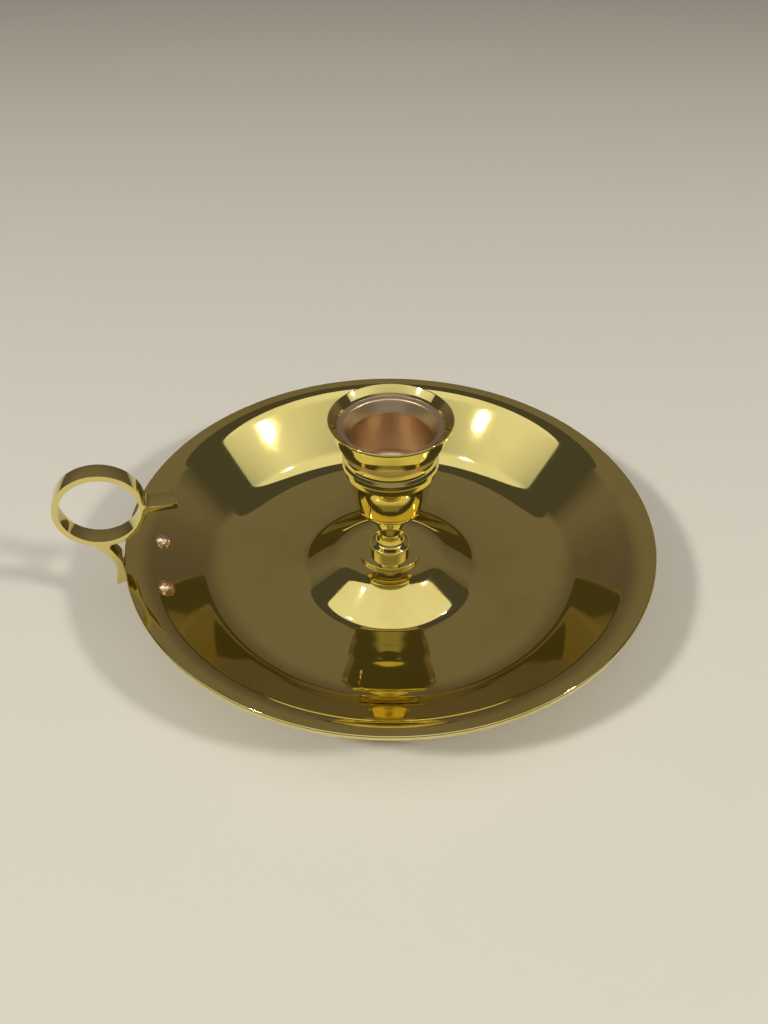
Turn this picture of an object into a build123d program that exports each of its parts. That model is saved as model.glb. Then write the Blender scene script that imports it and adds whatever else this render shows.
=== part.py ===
from build123d import *
import os
from math import asin, cos, degrees, radians, sin, tan

# Sizes in millimetres. The pieces are drawn with the dish's axis on Z, the table at z = 0 and the finger
# loop towards -X, and are written out with the middle of the whole footprint at the origin.

# Drip pan: one spun sheet with a raised seat on a dome, a nearly flat floor, a sloping wall and a rolled rim
sheet = 1.4
rim_radius = 76.0
rim_width = 5.1
rim_drop = 0.7
rim_bend = 9.0
rim_arris = 0.45
dish_depth = 19.7
wall_angle = 43.0
wall_bend = 14.0
floor_rise = 1.4
base_start = 0.18
base_end = 0.42
base_bend = 30.0
dome_radius = 26.6
dome_edge_rise = 0.3
dome_edge_bend = 7.0
seat_margin = 4.9
seat_rise = 6.4
seat_bend = 12.0

# Candle socket: one turned piece. Each climb is counted from the level below it, from the foot to the lip
foot_radius = 9.6
foot_thickness = 1.0
foot_arris = 0.25
bell_radius = 6.1
bell_height = 2.3
bell_bend = 0.8
bell_top_radius = 4.0
bell_top_climb = 0.9
bell_top_bend = 1.6
waist_radius = 3.2
waist_climb = 1.9
waist_length = 1.9
waist_low_bend = 3.0
waist_high_bend = 6.0
knop_radius = 4.8
knop_climb = 3.7
knop_step = 0.3
knop_step_climb = 0.4
knop_arris = 0.3
cup_base_radius = 6.7
cup_base_step = 1.0
cup_base_climb = 2.6
cup_base_bend = 2.5
cup_edge_climb = 1.2
cup_edge_bend = 0.6
shoulder_radius = 10.0
shoulder_step = 1.3
shoulder_low_climb = 1.1
shoulder_low_bend = 1.8
shoulder_climb = 2.0
shoulder_bend = 6.0
cup_radius = 12.45
cup_climb = 11.9
cup_line = 0.25
cup_band = 1.75
cup_band_bend = 0.5
belt_radius = 13.4
belt_climb = 0.7
belt_width = 1.3
belt_arris = 0.25
neck_radius = 12.8
neck_climb = 0.9
neck_low_bend = 0.6
neck_length = 1.9
neck_bend = 6.0
lip_radius = 17.0
lip_flare_step = 1.4
lip_flare_climb = 5.7
lip_flare_bend = 14.0
lip_climb = 4.1
lip_edge = 1.0
lip_arris = 0.3
lip_inner_radius = 14.7
lip_fall = 2.0
throat_step = 0.4
throat_step_fall = 0.7
throat_step_arris = 0.2
throat_radius = 12.9
throat_fall = 0.4
throat_bend = 0.8
bore_radius = 11.05
bore_fall = 3.2
bore_mouth_bend = 0.6
bore_floor_drop = 2.9
bore_corner = 2.0

# Screw and washer under the dome that hold the socket
screw_radius = 1.5
screw_grip = 7.0
screw_end_bend = 0.5
screw_head_radius = 3.0
screw_head_height = 2.4
screw_head_bend = 0.8
screw_slot_width = 0.8
screw_slot_depth = 1.1
screw_hole_spare = 1.0
screw_thread_gap = 0.05
screw_pass_gap = 0.2
washer_radius = 6.5
washer_thickness = 1.0

# Finger loop: one casting of ring, thumb tab, leg and the palm that is riveted under the rim
loop_width = 5.2
loop_radius = 11.7
loop_thickness = 1.5
loop_reach = 2.6
loop_rise = 19.1
loop_arris = 0.3
tab_length = 8.1
tab_thickness = 1.8
tab_rise = 18.5
leg_gap = 0.3
leg_thickness = 1.8
leg_start_angle = 4.0
leg_end_angle = 24.0
leg_bend_rise = 0.9
leg_bend = 3.0
leg_elbow_reach = 3.9
leg_elbow_rise = 4.3
leg_elbow_bend = 4.0
leg_drop = 7.2
heel_reach = 1.1
heel_toe = 0.6
heel_lift = 0.3
heel_arris = 0.2
heel_width = 2.4
arch_rise = 1.2
arch_bend = 2.0
web_gap = 0.8
web_bend = 0.5
palm_thickness = 1.7
palm_margin = 3.7
palm_corner = 3.4
palm_gap = 0.05

# Two copper rivets through the wall and the palm
rivet_spacing = 19.4
rivet_drop = 5.0
rivet_radius = 1.6
rivet_hole_gap = 0.05
rivet_head_radius = 2.65
rivet_head_height = 1.8
rivet_tail_radius = 2.3
rivet_tail_height = 0.9
rivet_seat_gap = 0.05

# The part of a straight stretch that the bends at its two ends may take up together
bend_room = 0.98

# Levels and radii that follow from the sizes above
rim_top = sheet + dish_depth
floor_top = sheet
seat_top = floor_top + seat_rise
seat_under = seat_top - sheet
seat_radius = foot_radius + seat_margin
wall_top = Vector(rim_radius - rim_width, rim_top - rim_drop)
wall_slope = tan(radians(wall_angle))
wall_foot = Vector(wall_top.X - (wall_top.Y - floor_top - floor_rise) / wall_slope, floor_top + floor_rise)
gutter_width = wall_foot.X - dome_radius
along_wall = Vector(cos(radians(wall_angle)), sin(radians(wall_angle)))
out_of_wall = Vector(sin(radians(wall_angle)), -cos(radians(wall_angle)))
rivet_height = rim_top - rivet_drop
rivet_spot = Vector(wall_top.X - (wall_top.Y - rivet_height) / wall_slope, rivet_height)
rivet_turn = degrees(asin(rivet_spacing / 2 / rivet_spot.X))
footprint_shift = (loop_reach + loop_radius) / 2


def fitting_bends(outline, bends):
    # Each bend, made smaller where a stretch beside its corner has too little room for its arc
    count = len(outline)
    stretches = [outline[(i + 1) % count] - outline[i] for i in range(count)]
    turns = [radians(stretches[i - 1].get_angle(stretches[i])) for i in range(count)]
    reaches = [bend * tan(turn / 2) for bend, turn in zip(bends, turns)]
    taken = [reaches[i] + reaches[(i + 1) % count] for i in range(count)]
    shares = [min(1, bend_room * way.length / used) if used else 1 for way, used in zip(stretches, taken)]
    return [bend * min(shares[i - 1], shares[i]) for i, bend in enumerate(bends)]


def rounded_face(outline, bends):
    return make_face(FilletPolyline(*outline, radius=fitting_bends(outline, bends), close=True))


def solid_of_revolution(outline, bends):
    return revolve(Plane.XZ * rounded_face(outline, bends), Axis.Z)


def crossing(start_a, way_a, start_b, way_b):
    gap = start_b - start_a
    reach = (gap.X * way_b.Y - gap.Y * way_b.X) / (way_a.X * way_b.Y - way_a.Y * way_b.X)
    return start_a + way_a * reach


def under_side(outline, thickness):
    # The sheet's lower line: each stretch moved down by the thickness and met with the next
    ways = [(b - a).normalized() for a, b in zip(outline, outline[1:])]
    drops = [Vector(way.Y, -way.X) * thickness for way in ways]
    corners = [
        crossing(spot + drops[i], ways[i], spot + drops[i + 1], ways[i + 1])
        for i, spot in enumerate(outline[1:-1])
    ]
    end = crossing(outline[-1] + drops[-1], ways[-1], outline[-1], Vector(0, 1))
    return [outline[0] + drops[0], *corners, end]


def rivet_place(side):
    # The wall's inner face at a rivet, with its z axis square to the wall and into the dish
    square = Plane(
        origin=(-rivet_spot.X, 0, rivet_spot.Y),
        x_dir=(0, 1, 0),
        z_dir=(out_of_wall.X, 0, -out_of_wall.Y),
    )
    return Rot(0, 0, side * rivet_turn) * square.location


def rivet_holes():
    length = 4 * (sheet + palm_thickness)
    return [rivet_place(side) * Cylinder(rivet_radius + rivet_hole_gap, length) for side in (-1, 1)]


def drip_pan():
    top = [
        Vector(0, seat_top),
        Vector(seat_radius, seat_top),
        Vector(dome_radius, floor_top + dome_edge_rise),
        Vector(dome_radius + gutter_width * base_start, floor_top),
        Vector(dome_radius + gutter_width * base_end, floor_top),
        wall_foot,
        wall_top,
        Vector(rim_radius, rim_top),
    ]
    top_bends = [seat_bend, dome_edge_bend, base_bend, base_bend, wall_bend, rim_bend]
    low_bends = [
        seat_bend - sheet,
        dome_edge_bend + sheet,
        base_bend + sheet,
        base_bend + sheet,
        wall_bend + sheet,
        rim_bend - sheet,
    ]
    outline = top + under_side(top, sheet)[::-1]
    pan = solid_of_revolution(outline, [0, *top_bends, rim_arris, rim_arris, *low_bends[::-1], 0])
    screw_hole = Pos(0, 0, seat_top) * Cylinder(screw_radius + screw_pass_gap, 4 * sheet)
    return pan - screw_hole - rivet_holes()


def candle_socket():
    # Outside, from the foot's middle up to the lip: radius, climb and bend
    outside = [
        (0, 0, 0),
        (foot_radius, 0, foot_arris),
        (foot_radius, foot_thickness, foot_arris),
        (bell_radius, 0, 0),
        (bell_radius, bell_height, bell_bend),
        (bell_top_radius, bell_top_climb, bell_top_bend),
        (waist_radius, waist_climb, waist_low_bend),
        (waist_radius, waist_length, waist_high_bend),
        (knop_radius - knop_step, knop_climb, knop_arris),
        (knop_radius, knop_step_climb, knop_arris),
        (cup_base_radius - cup_base_step, cup_base_climb, cup_base_bend),
        (cup_base_radius, cup_edge_climb, cup_edge_bend),
        (shoulder_radius - shoulder_step, shoulder_low_climb, shoulder_low_bend),
        (shoulder_radius, shoulder_climb, shoulder_bend),
        (cup_radius, cup_climb, 0),
        (cup_radius + cup_line, cup_line, 0),
        (cup_radius + cup_line, cup_band, cup_band_bend),
        (belt_radius, belt_climb, belt_arris),
        (belt_radius, belt_width, belt_arris),
        (neck_radius, neck_climb, neck_low_bend),
        (neck_radius, neck_length, neck_bend),
        (lip_radius - lip_flare_step, lip_flare_climb, lip_flare_bend),
        (lip_radius, lip_climb, lip_arris),
        (lip_radius, lip_edge, lip_arris),
    ]
    # Inside, from the lip down to the bore's floor: radius, fall and bend
    inside = [
        (lip_inner_radius, lip_fall, lip_arris),
        (lip_inner_radius - throat_step, throat_step_fall, throat_step_arris),
        (throat_radius, throat_fall, throat_bend),
        (bore_radius, bore_fall, bore_mouth_bend),
    ]
    level = seat_top
    outline = []
    for radius, climb, _ in outside:
        level += climb
        outline.append(Vector(radius, level))
        if radius == cup_radius:
            bore_floor = level - bore_floor_drop
    for radius, fall, _ in inside:
        level -= fall
        outline.append(Vector(radius, level))
    outline += [Vector(bore_radius, bore_floor), Vector(0, bore_floor)]
    bends = [bend for _, _, bend in outside + inside] + [bore_corner, 0]
    screw_hole = Cylinder(
        screw_radius + screw_thread_gap,
        screw_grip + screw_hole_spare,
        align=(Align.CENTER, Align.CENTER, Align.MIN),
    )
    return solid_of_revolution(outline, bends) - Pos(0, 0, seat_top) * screw_hole


def socket_washer():
    ring = Circle(washer_radius) - Circle(screw_radius + screw_pass_gap)
    return Pos(0, 0, seat_under) * extrude(ring, -washer_thickness)


def socket_screw():
    head_top = seat_under - washer_thickness
    outline = [
        Vector(0, head_top - screw_head_height),
        Vector(screw_head_radius, head_top - screw_head_height),
        Vector(screw_head_radius, head_top),
        Vector(screw_radius, head_top),
        Vector(screw_radius, seat_top + screw_grip),
        Vector(0, seat_top + screw_grip),
    ]
    screw = solid_of_revolution(outline, [0, screw_head_bend, 0, 0, screw_end_bend, 0])
    slot = Box(3 * screw_head_radius, screw_slot_width, 2 * screw_slot_depth)
    return screw - Pos(0, 0, head_top - screw_head_height) * slot


def finger_loop():
    # The strap's side view, drawn at +X and turned to -X at the end
    rim_edge = Vector(rim_radius, rim_top)
    middle = rim_edge + Vector(loop_reach, loop_rise)
    wall_mid = loop_radius - loop_thickness / 2
    inner = rim_edge.X + leg_gap
    outer = inner + leg_thickness
    web_top = rim_edge.Y - sheet - web_gap
    heel_level = rim_edge.Y - leg_drop
    palm_middle = rivet_spot + out_of_wall * (sheet + palm_gap)
    palm_core = palm_middle + out_of_wall * (palm_thickness / 2)

    def on_ring(angle):
        return middle + Vector(sin(radians(angle)), -cos(radians(angle))) * wall_mid

    leg = [
        (on_ring(leg_start_angle), 0),
        (Vector(inner, rim_edge.Y + leg_bend_rise), leg_bend),
        (Vector(inner, web_top), web_bend),
        (palm_core + along_wall * (palm_margin * 3 / 4), 0),
        (palm_core - along_wall * (palm_margin / 2), 0),
        (Vector(outer - heel_width, heel_level + arch_rise), arch_bend),
        (Vector(outer + heel_reach - heel_toe, heel_level), heel_arris),
        (Vector(outer + heel_reach, heel_level + heel_lift), heel_arris),
        (Vector(outer, web_top), leg_elbow_bend),
        (Vector(outer, rim_edge.Y + leg_bend_rise), leg_bend),
        (rim_edge + Vector(leg_elbow_reach, leg_elbow_rise), leg_elbow_bend),
        (on_ring(leg_end_angle), 0),
    ]
    leg_face = rounded_face([spot for spot, _ in leg], [bend for _, bend in leg])
    ring_face = Pos(middle.X, middle.Y) * (Circle(loop_radius) - Circle(loop_radius - loop_thickness))
    tab_end = middle.X - loop_radius - tab_length
    tab_root = middle.X - wall_mid
    tab_face = Pos((tab_end + tab_root) / 2, rim_top + tab_rise - tab_thickness / 2) * Rectangle(
        tab_root - tab_end, tab_thickness
    )
    strap = extrude(Plane.XZ * (ring_face + leg_face + tab_face), loop_width / 2, both=True)
    sides = strap.edges().filter_by(lambda edge: abs(abs(edge.center().Y) - loop_width / 2) < loop_arris / 10)
    strap = fillet(sides, loop_arris)
    # The palm: a rounded oblong cut out of a shell that follows the wall's outer face
    spare = 2 * palm_margin
    blank = [
        palm_middle + along_wall * reach + out_of_wall * depth
        for reach, depth in ((-spare, 0), (spare, 0), (spare, palm_thickness), (-spare, palm_thickness))
    ]
    spread = 4 * rivet_turn
    blank_face = Plane.XZ * make_face(Polyline(*blank, close=True))
    shell = Rot(0, 0, -spread / 2) * revolve(blank_face, Axis.Z, spread)
    square = Plane(
        origin=(palm_middle.X, 0, palm_middle.Y), x_dir=(0, 1, 0), z_dir=(out_of_wall.X, 0, out_of_wall.Y)
    )
    shape = RectangleRounded(rivet_spacing + 2 * palm_margin, 2 * palm_margin, palm_corner)
    palm = shell & extrude(square * shape, 3 * palm_thickness, both=True)
    return Rot(0, 0, 180) * (strap + palm) - rivet_holes()


def domed_end(base, level, height):
    # Half of a dome's outline, from its edge to its crown, and the crown
    crown = (0, level + height)
    return RadiusArc((base, level), crown, -(base**2 + height**2) / (2 * height)), crown


def rivet(side):
    grip = sheet + palm_gap + palm_thickness + rivet_seat_gap
    head, head_crown = domed_end(rivet_head_radius, rivet_seat_gap, rivet_head_height)
    tail, tail_crown = domed_end(rivet_tail_radius, -grip, -rivet_tail_height)
    shank = Polyline(
        (rivet_tail_radius, -grip),
        (rivet_radius, -grip),
        (rivet_radius, rivet_seat_gap),
        (rivet_head_radius, rivet_seat_gap),
    )
    core = Line(head_crown, tail_crown)
    body = revolve(Plane.XZ * make_face([*shank.edges(), head, core, tail]), Axis.Z)
    return rivet_place(side) * body


os.makedirs("parts", exist_ok=True)
pieces = {
    "drip_pan": drip_pan(),
    "candle_socket": candle_socket(),
    "socket_washer": socket_washer(),
    "socket_screw": socket_screw(),
    "finger_loop": finger_loop(),
    "front_rivet": rivet(1),
    "rear_rivet": rivet(-1),
}
for name, piece in pieces.items():
    export_step(Pos(footprint_shift, 0, 0) * piece, f"parts/{name}.step")
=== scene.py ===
from math import asin, atan2, ceil, cos, degrees, pi, radians, sin, sqrt, tan

import bpy
from mathutils import Matrix, Vector


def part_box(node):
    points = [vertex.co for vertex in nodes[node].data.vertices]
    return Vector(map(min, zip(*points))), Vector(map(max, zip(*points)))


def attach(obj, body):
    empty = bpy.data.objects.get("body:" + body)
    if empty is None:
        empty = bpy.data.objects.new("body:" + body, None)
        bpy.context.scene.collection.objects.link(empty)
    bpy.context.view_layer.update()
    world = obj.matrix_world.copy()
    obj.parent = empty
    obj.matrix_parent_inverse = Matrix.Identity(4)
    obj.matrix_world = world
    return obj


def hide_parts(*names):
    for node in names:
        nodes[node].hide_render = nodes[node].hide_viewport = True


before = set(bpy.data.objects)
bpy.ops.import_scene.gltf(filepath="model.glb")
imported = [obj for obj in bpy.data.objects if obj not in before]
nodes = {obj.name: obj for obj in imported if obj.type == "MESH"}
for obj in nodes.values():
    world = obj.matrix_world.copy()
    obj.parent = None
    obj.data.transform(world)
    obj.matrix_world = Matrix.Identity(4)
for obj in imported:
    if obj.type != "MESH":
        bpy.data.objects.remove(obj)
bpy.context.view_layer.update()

mm = 0.001
panLow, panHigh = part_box("drip_pan")
rimRadius = (panHigh.y - panLow.y) / 2 / mm
dishAxis = panHigh.x - rimRadius * mm
atAxis = Matrix.Translation((dishAxis, 0, 0))
print("frame loaded, rim radius", round(rimRadius, 2), "mm")


# Shader maths: operators make Math nodes, every other node comes from node()
class Shade:
    def __init__(self, tree, made=None, output=0):
        self.tree = tree
        self.made = made
        self.socket = made.outputs[output] if made else None

    def node(self, kind, settings=None, sockets=None, output=0):
        made = self.tree.nodes.new("ShaderNode" + kind)
        for key, value in (settings or {}).items():
            setattr(made, key, value)
        for key, value in (sockets or {}).items():
            if isinstance(value, Shade):
                self.tree.links.new(value.socket, made.inputs[key])
            else:
                made.inputs[key].default_value = value
        return Shade(self.tree, made, output)

    def math(self, operation, first, second):
        return self.node("Math", {"operation": operation}, {0: first, 1: second})

    def __add__(self, other):
        return self.math("ADD", self, other)

    def __radd__(self, other):
        return self.math("ADD", other, self)

    def __sub__(self, other):
        return self.math("SUBTRACT", self, other)

    def __rsub__(self, other):
        return self.math("SUBTRACT", other, self)

    def __mul__(self, other):
        return self.math("MULTIPLY", self, other)

    def __rmul__(self, other):
        return self.math("MULTIPLY", other, self)

    def __pow__(self, other):
        return self.math("POWER", self, other)

    def step(self, low, high):
        return self.node("MapRange", {"clamp": True, "interpolation_type": "SMOOTHSTEP"},
                         {"Value": self, "From Min": low, "From Max": high})

    def blend(self, first, second):
        return self.node("Mix", {"data_type": "RGBA"}, {0: self, 6: first, 7: second}, 2)


def newMaterial(name):
    material = bpy.data.materials.new(name)
    material.use_nodes = True
    return material, Shade(material.node_tree), material.node_tree.nodes["Principled BSDF"]


def feed(shade, shader, sockets):
    for key, value in sockets.items():
        if isinstance(value, Shade):
            shade.tree.links.new(value.socket, shader.inputs[key])
        else:
            shader.inputs[key].default_value = value


def noise(shade, place, scale, detail, **sockets):
    return shade.node("TexNoise", sockets={"Vector": place, "Scale": scale, "Detail": detail, **sockets})


def bumped(shade, relief):
    return shade.node("Bump", sockets={"Height": relief, "Strength": 1.0, "Distance": 1.0})


def heightAndReach(shade, place):
    # Height above the table and distance from the dish's axis
    centred = shade.node("Mapping", sockets={"Vector": place, "Location": (-dishAxis, 0, 0)})
    split = shade.node("SeparateXYZ", sockets={0: centred})
    across, depth, height = (Shade(shade.tree, split.made, i) for i in range(3))
    return height, (across * across + depth * depth) ** 0.5


# Polished brass with faint tarnish clouds, turning lines and fine hairlines
brass = {
    "bright": (0.80, 0.69, 0.27, 1),
    "warm": (0.70, 0.56, 0.19, 1),
    "roughness": 0.045,
    "dullRoughness": 0.12,
    "hairRoughness": 0.03,
    "tarnish": 0.6,
    "cloudScale": 38.0,
    "cloudDetail": 6.0,
    "cloudRoughness": 0.62,
    "cloudRange": (0.46, 0.74),
    "hairScale": 420.0,
    "hairDetail": 4.0,
    "hairDistortion": 1.5,
    "hairRange": (0.6, 0.8),
    "hairDepth": 0.0008 * mm,
    "waveScale": 30.0,
    "waveDetail": 1.0,
    "lineScale": 1500.0,
    "lineDetail": 3.0,
    "lineDepth": 0.0006 * mm,
}


def brassFinish(name, waveDepth, turned=True, extraRoughness=0.0, cover=None):
    material, shade, shader = newMaterial(name)
    place = shade.node("TexCoord", output=3)
    height, reach = heightAndReach(shade, place)
    cloud = noise(shade, place, brass["cloudScale"], brass["cloudDetail"], Roughness=brass["cloudRoughness"])
    dull = cloud.step(*brass["cloudRange"])
    hair = noise(shade, place, brass["hairScale"], brass["hairDetail"], Distortion=brass["hairDistortion"])
    wave = noise(shade, place, brass["waveScale"], brass["waveDetail"])
    relief = wave * (waveDepth * mm) + hair * brass["hairDepth"]
    if turned:
        lines = shade.node("TexNoise", {"noise_dimensions": "1D"},
                           {"W": reach + height, "Scale": brass["lineScale"], "Detail": brass["lineDetail"]})
        relief = relief + lines * brass["lineDepth"]
    colour = (dull * brass["tarnish"]).blend(brass["bright"], brass["warm"])
    dullness = (brass["dullRoughness"] - brass["roughness"]) * brass["tarnish"]
    roughness = brass["roughness"] + extraRoughness + dull * dullness
    roughness = roughness + hair.step(*brass["hairRange"]) * brass["hairRoughness"]
    if cover:
        mask, coverColour, coverRoughness = cover(height, reach)
        colour = mask.blend(colour, coverColour)
        roughness = roughness + mask * coverRoughness
    feed(shade, shader, {"Base Color": colour, "Metallic": 1.0, "Roughness": roughness,
                         "Normal": bumped(shade, relief)})
    return material


copper = {
    "bright": (0.98, 0.74, 0.58, 1),
    "dark": (0.86, 0.50, 0.34, 1),
    "roughness": 0.24,
    "dullRoughness": 0.12,
    "grainScale": 700.0,
    "grainDetail": 3.0,
    "grainRange": (0.45, 0.72),
    "grainDepth": 0.006 * mm,
}


def copperFinish(name):
    material, shade, shader = newMaterial(name)
    place = shade.node("TexCoord", output=3)
    grain = noise(shade, place, copper["grainScale"], copper["grainDetail"])
    dull = grain.step(*copper["grainRange"])
    feed(shade, shader, {
        "Base Color": dull.blend(copper["bright"], copper["dark"]),
        "Metallic": 1.0,
        "Roughness": copper["roughness"] + dull * copper["dullRoughness"],
        "Normal": bumped(shade, grain * copper["grainDepth"]),
    })
    return material


# Outlines: (across, up, bend) in millimetres, each bend an arc between two straight stretches
def arcPoints(middle, radius, start, sweep, turnStep=3.0):
    count = max(4, ceil(abs(degrees(sweep)) / turnStep))
    turns = [start + sweep * k / count for k in range(count + 1)]
    return [middle + Vector((cos(turn), sin(turn))) * radius for turn in turns]


def shortTurn(first, last):
    start = atan2(first.y, first.x)
    return start, (atan2(last.y, last.x) - start + pi) % (2 * pi) - pi


def roundCorners(stations, inset=0.8):
    # Long stretches get a point just outside each bend, which keeps their shading flat
    points = []
    for i, (across, up, bend) in enumerate(stations):
        here = Vector((across, up))
        if not bend:
            points.append(here)
            continue
        back = Vector(stations[i - 1][:2]) - here
        ahead = Vector(stations[(i + 1) % len(stations)][:2]) - here
        roomBack, roomAhead = back.length, ahead.length
        back.normalize()
        ahead.normalize()
        corner = back.angle(ahead)
        run = bend / tan(corner / 2)
        middle = here + (back + ahead).normalized() * (bend / sin(corner / 2))
        start, sweep = shortTurn(here + back * run - middle, here + ahead * run - middle)
        if roomBack - run > 3 * inset:
            points.append(here + back * (run + inset))
        points += arcPoints(middle, bend, start, sweep)
        if roomAhead - run > 3 * inset:
            points.append(here + ahead * (run + inset))
    return points


def underSide(stations, sheet):
    # The lower line of a bent sheet: each stretch moved down by its thickness and met with the next
    spots = [Vector(station[:2]) for station in stations]
    ways = [(b - a).normalized() for a, b in zip(spots, spots[1:])]
    drops = [Vector((way.y, -way.x)) * sheet for way in ways]
    low = [(*(spots[0] + drops[0]), 0)]
    for i, (spot, station) in enumerate(zip(spots[1:-1], stations[1:-1])):
        half = ways[i].angle(ways[i + 1]) / 2
        middle = (drops[i] + drops[i + 1]).normalized() * (sheet / cos(half))
        rising = ways[i].cross(ways[i + 1]) > 0
        low.append((*(spot + middle), station[2] + sheet if rising else station[2] - sheet))
    end = spots[-1] + drops[-1]
    endUp = end.y + ways[-1].y / ways[-1].x * (spots[-1].x - end.x)
    low.append((spots[-1].x, endUp, stations[-1][2]))
    return low[::-1]


# Mesh steps that several pieces share
weld = {"turned": 0.0005 * mm, "drawn": 0.002 * mm, "cut": 0.00001 * mm}


def drawOutline(name, points):
    bpy.ops.object.select_all(action="DESELECT")
    bpy.ops.mesh.primitive_plane_add(size=mm, location=(0, 0, 0))
    piece = bpy.context.object
    piece.name = name
    bpy.ops.object.mode_set(mode="EDIT")
    bpy.ops.mesh.select_all(action="SELECT")
    bpy.ops.mesh.merge(type="CENTER")
    spots = [Vector((p.x * mm, 0, p.y * mm)) for p in points]
    bpy.ops.transform.translate(value=spots[0])
    for spot, following in zip(spots, spots[1:]):
        bpy.ops.mesh.extrude_region_move(TRANSFORM_OT_translate={"value": following - spot})
    bpy.ops.mesh.select_all(action="SELECT")
    return piece


def facesOutwards():
    bpy.ops.mesh.select_all(action="SELECT")
    bpy.ops.mesh.normals_make_consistent(inside=False)
    bpy.ops.object.mode_set(mode="OBJECT")


def closeMesh(sharpAngle):
    bpy.ops.mesh.select_all(action="SELECT")
    bpy.ops.mesh.remove_doubles(threshold=weld["turned"])
    bpy.ops.mesh.delete_loose()
    facesOutwards()
    bpy.ops.object.shade_smooth_by_angle(angle=radians(sharpAngle))


def turnPiece(name, stations, steps, sharpAngle=35):
    points = roundCorners(stations)
    piece = drawOutline(name, points + points[:1])
    bpy.ops.mesh.spin(steps=steps, angle=2 * pi, center=(0, 0, 0), axis=(0, 0, 1))
    closeMesh(sharpAngle)
    return piece


def onlySelect(piece):
    bpy.ops.object.select_all(action="DESELECT")
    piece.select_set(True)
    bpy.context.view_layer.objects.active = piece


def settle(piece, place):
    onlySelect(piece)
    piece.matrix_world = place
    bpy.ops.object.transform_apply(location=True, rotation=True, scale=True)


def finishWith(piece, kind, **settings):
    onlySelect(piece)
    modifier = piece.modifiers.new(kind.lower(), kind)
    for key, value in settings.items():
        setattr(modifier, key, value)
    bpy.ops.object.modifier_apply(modifier=modifier.name)


def bevelEdges(piece, width, segments, sharperThan):
    finishWith(piece, "BEVEL", width=width * mm, segments=segments, limit_method="ANGLE",
               angle_limit=radians(sharperThan))


def facing(across, normal, spot):
    # A place whose local X is across and local Z is the normal, with its spot in millimetres
    place = Matrix((across, normal.cross(across), normal)).transposed().to_4x4()
    place.translation = spot * mm
    return place


def dress(piece, material, slot, *replaced):
    piece.data.materials.clear()
    piece.data.materials.append(material)
    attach(piece, "root")
    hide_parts(*replaced)
    print("made", piece.name, "with", len(piece.data.polygons), "faces")


# Drip pan: one spun sheet, its upper line from the screw hole out to the rim
pan = {
    "steps": 288,
    "sheet": 1.4,
    "wallAngle": 43.0,
    "waveDepth": 0.02,
    "upperLine": [
        (1.7, 7.8, 0), (14.5, 7.8, 12.0), (26.6, 1.7, 7.0), (31.177, 1.4, 30.0), (37.28, 1.4, 30.0),
        (52.026, 2.8, 14.0), (70.9, 20.4, 9.0), (76.0, 21.1, 0.45),
    ],
}
rimLevel = pan["upperLine"][-1][1]
dish = turnPiece("spunPan", pan["upperLine"] + underSide(pan["upperLine"], pan["sheet"]), pan["steps"])
settle(dish, atAxis)
dress(dish, brassFinish("spunBrass", pan["waveDepth"]), "brass", "drip_pan")

# Candle socket: one turned piece on the dome's seat, drawn from its screw hole up and back into the bore
socket = {
    "steps": 192,
    "seat": 7.8,
    "waveDepth": 0.008,
    "outline": [
        (1.55, 0, 0), (9.6, 0, 0.25), (9.6, 1.0, 0.25), (6.1, 1.0, 0), (6.1, 3.3, 0.8), (4.0, 4.2, 1.6),
        (3.2, 6.1, 3.0), (3.2, 8.0, 6.0), (4.5, 11.7, 0.3), (4.8, 12.1, 0.3), (5.7, 14.7, 2.5),
        (6.7, 15.9, 0.6), (8.7, 17.0, 1.8), (10.0, 19.0, 6.0), (12.45, 30.9, 0), (12.7, 31.15, 0),
        (12.7, 32.9, 0.5), (13.4, 33.6, 0.25), (13.4, 34.9, 0.25), (12.8, 35.8, 0.6), (12.8, 37.7, 6.0),
        (15.6, 43.4, 14.0), (17.0, 47.5, 0.3), (17.0, 48.5, 0.3), (14.7, 46.5, 0.3), (14.3, 45.8, 0.2),
        (12.9, 45.4, 0.8), (11.05, 42.2, 0.6), (11.05, 28.0, 2.0), (0.6, 28.0, 0), (0.0, 28.0, 0),
        (0.0, 8.0, 0), (1.55, 8.0, 0),
    ],
    "boreColour": (0.84, 0.66, 0.46, 1),
    "boreRoughness": 0.28,
    "mouthReach": (14.6, 14.2),
    "mouthRise": (37.9, 38.2),
    "boreReach": (11.6, 11.4),
    "boreRise": (27.0, 27.8),
}


def boreCover(height, reach):
    # The browner, duller metal of the mouth and the bore
    def across(key):
        return reach.step(*(edge * mm for edge in socket[key]))

    def above(key):
        return height.step(*((socket["seat"] + edge) * mm for edge in socket[key]))

    upper = above("mouthRise")
    mask = across("mouthReach") * upper + (1 - upper) * across("boreReach") * above("boreRise")
    return mask, socket["boreColour"], socket["boreRoughness"]


holder = turnPiece("turnedSocket", socket["outline"], socket["steps"])
settle(holder, atAxis @ Matrix.Translation((0, 0, socket["seat"] * mm)))
socketFinish = brassFinish("turnedBrass", socket["waveDepth"], cover=boreCover)
dress(holder, socketFinish, "brass", "candle_socket")

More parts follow.
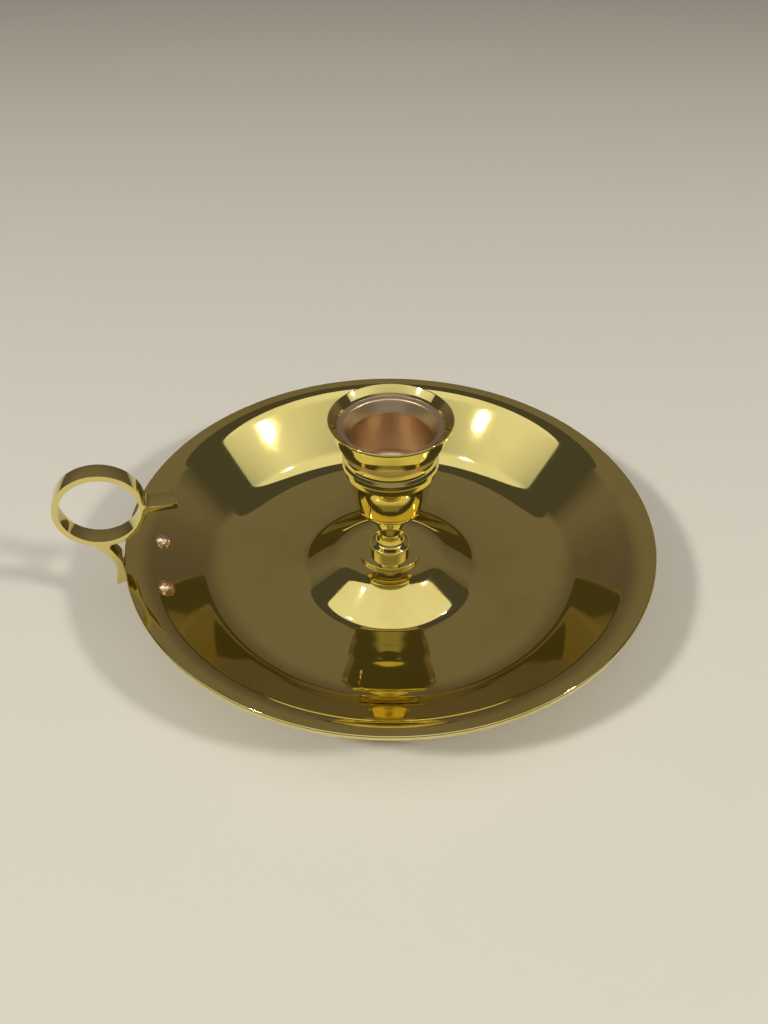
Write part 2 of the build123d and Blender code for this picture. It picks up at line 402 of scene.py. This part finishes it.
# Finger loop: the strap's side view with the ring's hole, pushed out to its width, and the palm under the rim
loop = {
    "width": 5.2,
    "radius": 11.7,
    "thickness": 1.5,
    "centre": (-78.6, 40.2),
    "arris": 0.35,
    "arrisSteps": 4,
    "arrisAngle": 50.0,
    "tabFillet": 1.8,
    "legFillet": 1.2,
    "filletStep": 6.0,
    "tabTop": 39.6,
    "tabThickness": 1.8,
    "tabEnd": -58.8,
    "tabCorner": 0.45,
    "legInner": [(-76.3, 22.0, 3.0), (-76.3, 18.9, 0.5)],
    "legOuter": [(-75.7, 15.1, 2.0), (-78.6, 13.9, 0.2), (-79.2, 14.2, 0.2), (-78.1, 18.9, 4.0),
                 (-78.1, 22.0, 3.0), (-79.9, 25.4, 4.0)],
    "legOnRing": (4.0, 24.0),
    "palmThickness": 1.7,
    "palmGap": 0.05,
    "palmMargin": 3.7,
    "palmCorner": 3.4,
    "palmCornerSteps": 12,
    "palmSteps": 48,
    "palmArris": 0.25,
    "palmArrisSteps": 3,
    "palmArrisAngle": 40.0,
    "rivetSpacing": 19.4,
    "rivetDrop": 5.0,
    "sharpAngle": 28.0,
    "waveDepth": 0.012,
    "extraRoughness": 0.03,
}
ringMiddle = Vector(loop["centre"])
wallTurn = radians(pan["wallAngle"])
wallTopReach, wallTopUp = pan["upperLine"][-2][:2]
wallWay = Vector((-cos(wallTurn), sin(wallTurn)))
wallOut = Vector((-sin(wallTurn), -cos(wallTurn)))
sideways = Vector((0, 1, 0))
outOfWall = Vector((wallOut.x, 0, wallOut.y))
rivetUp = rimLevel - loop["rivetDrop"]
rivetReach = wallTopReach - (wallTopUp - rivetUp) / tan(wallTurn)
rivetTurn = asin(loop["rivetSpacing"] / 2 / rivetReach)
palmMiddle = Vector((-rivetReach, rivetUp)) + wallOut * (pan["sheet"] + loop["palmGap"])
palmCore = palmMiddle + wallOut * (loop["palmThickness"] / 2)


def ringFillet(start, way, side, radius):
    # An arc between a straight edge and the ring's outside: its ends on the edge and the ring, and its middle
    reach = loop["radius"] + radius
    lead = start + side * radius - ringMiddle
    run = -lead.dot(way) - sqrt(lead.dot(way) ** 2 - lead.length_squared + reach**2)
    onEdge = start + way * run
    middle = onEdge + side * radius
    onRing = ringMiddle + (middle - ringMiddle) * (loop["radius"] / reach)
    return onEdge, onRing, middle


def filletArc(first, last, middle, radius):
    return arcPoints(middle, radius, *shortTurn(first - middle, last - middle), turnStep=loop["filletStep"])


def ringArc(first, last):
    start = atan2(first.y - ringMiddle.y, first.x - ringMiddle.x)
    end = atan2(last.y - ringMiddle.y, last.x - ringMiddle.x)
    return arcPoints(ringMiddle, loop["radius"], start, -((start - end) % (2 * pi)))


def onRingWall(angle):
    wallMid = loop["radius"] - loop["thickness"] / 2
    return ringMiddle + Vector((-sin(radians(angle)), -cos(radians(angle)))) * wallMid


def strapOutline():
    tabFillet, legFillet = loop["tabFillet"], loop["legFillet"]
    tabTop, tabLow = loop["tabTop"], loop["tabTop"] - loop["tabThickness"]
    outward = Vector((-1, 0))
    tabUpper = ringFillet(Vector((loop["tabEnd"], tabTop)), outward, Vector((0, 1)), tabFillet)
    tabLower = ringFillet(Vector((loop["tabEnd"], tabLow)), outward, Vector((0, -1)), tabFillet)
    innerTop = Vector(loop["legInner"][0][:2])
    innerWay = (onRingWall(loop["legOnRing"][0]) - innerTop).normalized()
    outerTop = Vector(loop["legOuter"][-1][:2])
    outerWay = (onRingWall(loop["legOnRing"][1]) - outerTop).normalized()
    inner = ringFillet(innerTop, innerWay, Vector((innerWay.y, -innerWay.x)), legFillet)
    outer = ringFillet(outerTop, outerWay, Vector((-outerWay.y, outerWay.x)), legFillet)
    tab = [(*tabUpper[0], 0), (loop["tabEnd"], tabTop, loop["tabCorner"]),
           (loop["tabEnd"], tabLow, loop["tabCorner"]), (*tabLower[0], 0)]
    leg = [(*inner[0], 0), *loop["legInner"],
           (*(palmCore + wallWay * (loop["palmMargin"] * 3 / 4)), 0),
           (*(palmCore - wallWay * (loop["palmMargin"] / 2)), 0),
           *loop["legOuter"], (*outer[0], 0)]
    points = ringArc(outer[1], tabUpper[1])
    points += filletArc(tabUpper[1], tabUpper[0], tabUpper[2], tabFillet)
    points += roundCorners(tab)[1:-1]
    points += filletArc(tabLower[0], tabLower[1], tabLower[2], tabFillet)
    points += ringArc(tabLower[1], inner[1])[1:]
    points += filletArc(inner[1], inner[0], inner[2], legFillet)
    points += roundCorners(leg)[1:-1]
    points += filletArc(outer[0], outer[1], outer[2], legFillet)[:-1]
    return points


def makeStrap():
    points = strapOutline()
    piece = drawOutline("fingerLoop", points + points[:1])
    bpy.ops.object.mode_set(mode="OBJECT")
    drawOutline("ringHole", arcPoints(ringMiddle, loop["radius"] - loop["thickness"], 0, 2 * pi))
    bpy.ops.object.mode_set(mode="OBJECT")
    piece.select_set(True)
    bpy.context.view_layer.objects.active = piece
    bpy.ops.object.join()
    bpy.ops.object.mode_set(mode="EDIT")
    bpy.ops.mesh.select_all(action="SELECT")
    bpy.ops.mesh.remove_doubles(threshold=weld["drawn"])
    bpy.ops.mesh.fill(use_beauty=True)
    bpy.ops.mesh.select_all(action="SELECT")
    bpy.ops.transform.translate(value=(0, -loop["width"] / 2 * mm, 0))
    bpy.ops.mesh.extrude_region_move(TRANSFORM_OT_translate={"value": (0, loop["width"] * mm, 0)})
    facesOutwards()
    bevelEdges(piece, loop["arris"], loop["arrisSteps"], loop["arrisAngle"])
    return piece


def makeShell():
    # A bent strip that follows the wall's outer face, wider and longer than the palm
    spare = 2 * loop["palmMargin"]
    corners = ((-spare, 0), (spare, 0), (spare, loop["palmThickness"]), (-spare, loop["palmThickness"]))
    section = [palmMiddle + wallWay * along + wallOut * depth for along, depth in corners]
    spread = 4 * rivetTurn
    shell = drawOutline("palm", section + section[:1])
    bpy.ops.mesh.remove_doubles(threshold=weld["drawn"])
    bpy.ops.mesh.edge_face_add()
    bpy.ops.transform.rotate(value=spread / 2, orient_axis="Z", center_override=(0, 0, 0))
    bpy.ops.mesh.spin(steps=loop["palmSteps"], angle=spread, center=(0, 0, 0), axis=(0, 0, 1))
    bpy.ops.mesh.select_all(action="DESELECT")
    bpy.ops.mesh.select_non_manifold()
    bpy.ops.mesh.edge_face_add()
    facesOutwards()
    return shell


def makeOblong():
    # A block with rounded upright edges, which trims the strip to the palm's shape
    bpy.ops.object.select_all(action="DESELECT")
    bpy.ops.mesh.primitive_cube_add(size=1)
    block = bpy.context.object
    block.name = "oblong"
    block.scale = ((loop["rivetSpacing"] + 2 * loop["palmMargin"]) * mm, 2 * loop["palmMargin"] * mm,
                   6 * loop["palmThickness"] * mm)
    bpy.ops.object.transform_apply(scale=True)
    bpy.ops.object.mode_set(mode="EDIT")
    bpy.ops.mesh.select_all(action="DESELECT")
    bpy.ops.object.mode_set(mode="OBJECT")
    for edge in block.data.edges:
        first, last = (block.data.vertices[v].co for v in edge.vertices)
        edge.select = abs(first.z - last.z) > mm
    bpy.ops.object.mode_set(mode="EDIT")
    bpy.ops.mesh.select_mode(type="EDGE")
    bpy.ops.mesh.bevel(offset=loop["palmCorner"] * mm, segments=loop["palmCornerSteps"])
    bpy.ops.mesh.select_mode(type="VERT")
    bpy.ops.object.mode_set(mode="OBJECT")
    settle(block, facing(sideways, outOfWall, Vector((palmMiddle.x, 0, palmMiddle.y))))
    return block


def makePalm():
    shell = makeShell()
    block = makeOblong()
    finishWith(shell, "BOOLEAN", object=block, operation="INTERSECT", solver="EXACT")
    bpy.data.objects.remove(block)
    bevelEdges(shell, loop["palmArris"], loop["palmArrisSteps"], loop["palmArrisAngle"])
    return shell


strap = makeStrap()
palm = makePalm()
finishWith(strap, "BOOLEAN", object=palm, operation="UNION", solver="EXACT")
bpy.data.objects.remove(palm)
onlySelect(strap)
bpy.ops.object.shade_smooth_by_angle(angle=radians(loop["sharpAngle"]))
settle(strap, atAxis)
loopFinish = brassFinish("castBrass", loop["waveDepth"], turned=False, extraRoughness=loop["extraRoughness"])
dress(strap, loopFinish, "brass", "finger_loop")

# Copper rivets: a head hammered into flats, the shank and the tail closed under the palm
rivets = {
    "names": (("front_rivet", "hammeredRivetFront", 1, 14.0), ("rear_rivet", "hammeredRivetRear", -1, 61.0)),
    "steps": 64,
    "headRadius": 2.65,
    "headHeight": 1.8,
    "shankRadius": 1.6,
    "tailRadius": 2.3,
    "tailHeight": 0.9,
    "seatGap": 0.05,
    "flats": ((0.0, 8.0, 0.04), (20.0, 34.0, 0.06), (95.0, 38.0, 0.08), (150.0, 30.0, 0.05),
              (215.0, 37.0, 0.07), (268.0, 32.0, 0.05), (325.0, 40.0, 0.07), (60.0, 60.0, 0.06),
              (180.0, 62.0, 0.05), (300.0, 61.0, 0.06)),
    "sharpAngle": 8.0,
}


def domeReach(base, height):
    return (base**2 + height**2) / (2 * abs(height))


def domeLine(base, level, height, steps=14):
    # A dome's outline from its edge to its crown, downwards where the height is negative
    reach = domeReach(base, height)
    middle = level + height - (reach if height > 0 else -reach)
    edge = asin(min(1.0, base / reach))
    way = 1 if height > 0 else -1
    turns = [edge * (1 - k / steps) for k in range(steps + 1)]
    return [(reach * sin(turn), middle + way * reach * cos(turn), 0) for turn in turns]


def makeRivet(name, spin):
    seat, shank = rivets["seatGap"], rivets["shankRadius"]
    grip = pan["sheet"] + loop["palmGap"] + loop["palmThickness"] + seat
    head = domeLine(rivets["headRadius"], seat, rivets["headHeight"])
    tail = domeLine(rivets["tailRadius"], -grip, -rivets["tailHeight"])
    piece = turnPiece(name, [*tail[::-1], (shank, -grip, 0), (shank, seat, 0), *head], rivets["steps"])
    reach = domeReach(rivets["headRadius"], rivets["headHeight"])
    middle = Vector((0, 0, (seat + rivets["headHeight"] - reach) * mm))
    bpy.ops.object.mode_set(mode="EDIT")
    for turn, lean, depth in rivets["flats"]:
        tilt, bearing = radians(lean), radians(turn + spin)
        way = Vector((sin(tilt) * cos(bearing), sin(tilt) * sin(bearing), cos(tilt)))
        bpy.ops.mesh.select_all(action="SELECT")
        bpy.ops.mesh.bisect(plane_co=middle + way * ((reach - depth) * mm), plane_no=way, use_fill=True,
                            clear_outer=True, threshold=weld["cut"])
    closeMesh(rivets["sharpAngle"])
    return piece


rivetFinish = copperFinish("hammeredCopper")
onWall = facing(sideways, -outOfWall, Vector((-rivetReach, 0, rivetUp)))
for node, name, side, spin in rivets["names"]:
    rivet = makeRivet(name, spin)
    settle(rivet, atAxis @ Matrix.Rotation(side * rivetTurn, 4, "Z") @ onWall)
    dress(rivet, rivetFinish, "copper", node)

for name in ("socket_washer", "socket_screw"):
    nodes[name].data.materials.clear()
    nodes[name].data.materials.append(loopFinish)

# Studio, in metres and turned to the viewer: a pale table, a dim curtain, a glowing ceiling and lamps
studio = {
    "turn": -13.8,
    "table": (0.575, 0.555, 0.51, 1),
    "tableSize": (6, 6),
    "tableRoughness": 0.75,
    "room": (0.075, 0.068, 0.057, 1),
    "warm": (1.0, 0.965, 0.89),
    "curtain": {"spot": (0, 1.6, 0.7), "size": (9.0, 3.4), "low": (0.105, 0.085, 0.07, 1),
                "high": (0.185, 0.155, 0.125, 1), "rise": (-0.7, 1.0), "ends": (3.4, 1.8)},
    "ceiling": {"spot": (0, -2.1, 2.0), "size": (9.0, 5.0), "low": (0.30, 0.29, 0.25, 1),
                "high": (0.92, 0.89, 0.78, 1), "rise": (0.4, 1.8), "ends": (3.4, 1.6)},
    "sparkles": {"spots": ((0.112, 0.019, 0.173), (-0.098, -0.020, 0.200)), "size": 0.010, "glow": 160.0},
    "lamps": {"ways": ((1.09, -0.57, 1.0), (-0.86, -0.57, 1.0)), "distance": 1.2, "size": 0.14,
              "glow": (160.0, 190.0)},
}
rig = Matrix.Translation((dishAxis, 0, rimLevel * mm)) @ Matrix.Rotation(radians(studio["turn"]), 4, "Z")


def aimed(spot, aim):
    way = Vector(aim) - Vector(spot)
    return rig @ Matrix.Translation(spot) @ way.to_track_quat("-Z", "Y").to_matrix().to_4x4()


def roundLight(name, spot, size, glow, inReflections):
    # Either a small lamp that shows only in reflections, or one that lights the table and stays out of them
    data = bpy.data.lights.new(name, "AREA")
    data.shape = "DISK"
    data.size = size
    data.energy = glow * pi * pi * size**2 / 4
    data.color = studio["warm"]
    light = bpy.data.objects.new(name, data)
    bpy.context.scene.collection.objects.link(light)
    light.matrix_world = aimed(spot, (0, 0, 0))
    light.visible_camera = False
    light.visible_glossy = inReflections
    light.visible_diffuse = not inReflections


def card(name, spot, size, aim):
    bpy.ops.object.select_all(action="DESELECT")
    bpy.ops.mesh.primitive_plane_add(size=1)
    made = bpy.context.object
    made.name = name
    made.scale = (*size, 1)
    bpy.ops.object.transform_apply(scale=True)
    made.matrix_world = aimed(spot, aim)
    return made


def glowingCard(name, settings, aim):
    # A card whose glow grows along its height and fades into the room at both ends
    made = card(name, settings["spot"], settings["size"], aim)
    made.visible_camera = False
    finish, shade, shader = newMaterial(name + "Glow")
    along = shade.node("SeparateXYZ", sockets={0: shade.node("TexCoord", output=3)})
    up = Shade(shade.tree, along.made, 1)
    middle = shade.math("ABSOLUTE", along, 0.0).step(*settings["ends"])
    rise = up.step(*settings["rise"])
    glow = middle.blend(studio["room"], rise.blend(settings["low"], settings["high"]))
    feed(shade, shader, {"Base Color": (0, 0, 0, 1), "Roughness": 1.0, "Emission Color": glow,
                         "Emission Strength": 1.0})
    made.data.materials.append(finish)


table = card("table", (0, 0, -rimLevel * mm), studio["tableSize"], (0, 0, -1))
tableFinish, tableShade, tableShader = newMaterial("paleTable")
feed(tableShade, tableShader, {"Base Color": studio["table"], "Roughness": studio["tableRoughness"]})
table.data.materials.append(tableFinish)
glowingCard("curtain", studio["curtain"], (0, 0, studio["curtain"]["spot"][2]))
glowingCard("ceiling", studio["ceiling"], (0, studio["ceiling"]["spot"][1], 0))
for i, spot in enumerate(studio["sparkles"]["spots"]):
    roundLight(f"sparkle{i}", spot, studio["sparkles"]["size"], studio["sparkles"]["glow"], True)
for i, (way, glow) in enumerate(zip(studio["lamps"]["ways"], studio["lamps"]["glow"])):
    spot = Vector(way).normalized() * studio["lamps"]["distance"]
    roundLight(f"lamp{i}", spot, studio["lamps"]["size"], glow, False)

world = bpy.data.worlds.new("room")
world.use_nodes = True
world.node_tree.nodes["Background"].inputs["Color"].default_value = studio["room"]
bpy.context.scene.world = world

# Camera, where the photograph was taken from, its spot in millimetres above the rim
view = {
    "spot": (-37.68, -182.52, 163.44),
    "ahead": (0.1736, 0.7377, -0.6525),
    "right": (0.97342, -0.22900, 0.0),
    "lens": 29.883,
    "sensor": 36.0,
    "nearest": 0.01,
}
cameraData = bpy.data.cameras.new("photoCamera")
cameraData.lens = view["lens"]
cameraData.sensor_width = view["sensor"]
cameraData.clip_start = view["nearest"]
camera = bpy.data.objects.new("photoCamera", cameraData)
bpy.context.scene.collection.objects.link(camera)
ahead = Vector(view["ahead"]).normalized()
right = Vector(view["right"])
right = (right - ahead * right.dot(ahead)).normalized()
camera.matrix_world = facing(right, -ahead, Vector(view["spot"]) + Vector((0, 0, rimLevel)))
bpy.context.scene.camera = camera
bpy.context.scene.view_settings.view_transform = "Standard"
print("studio and camera set")

bpy.context.view_layer.update()
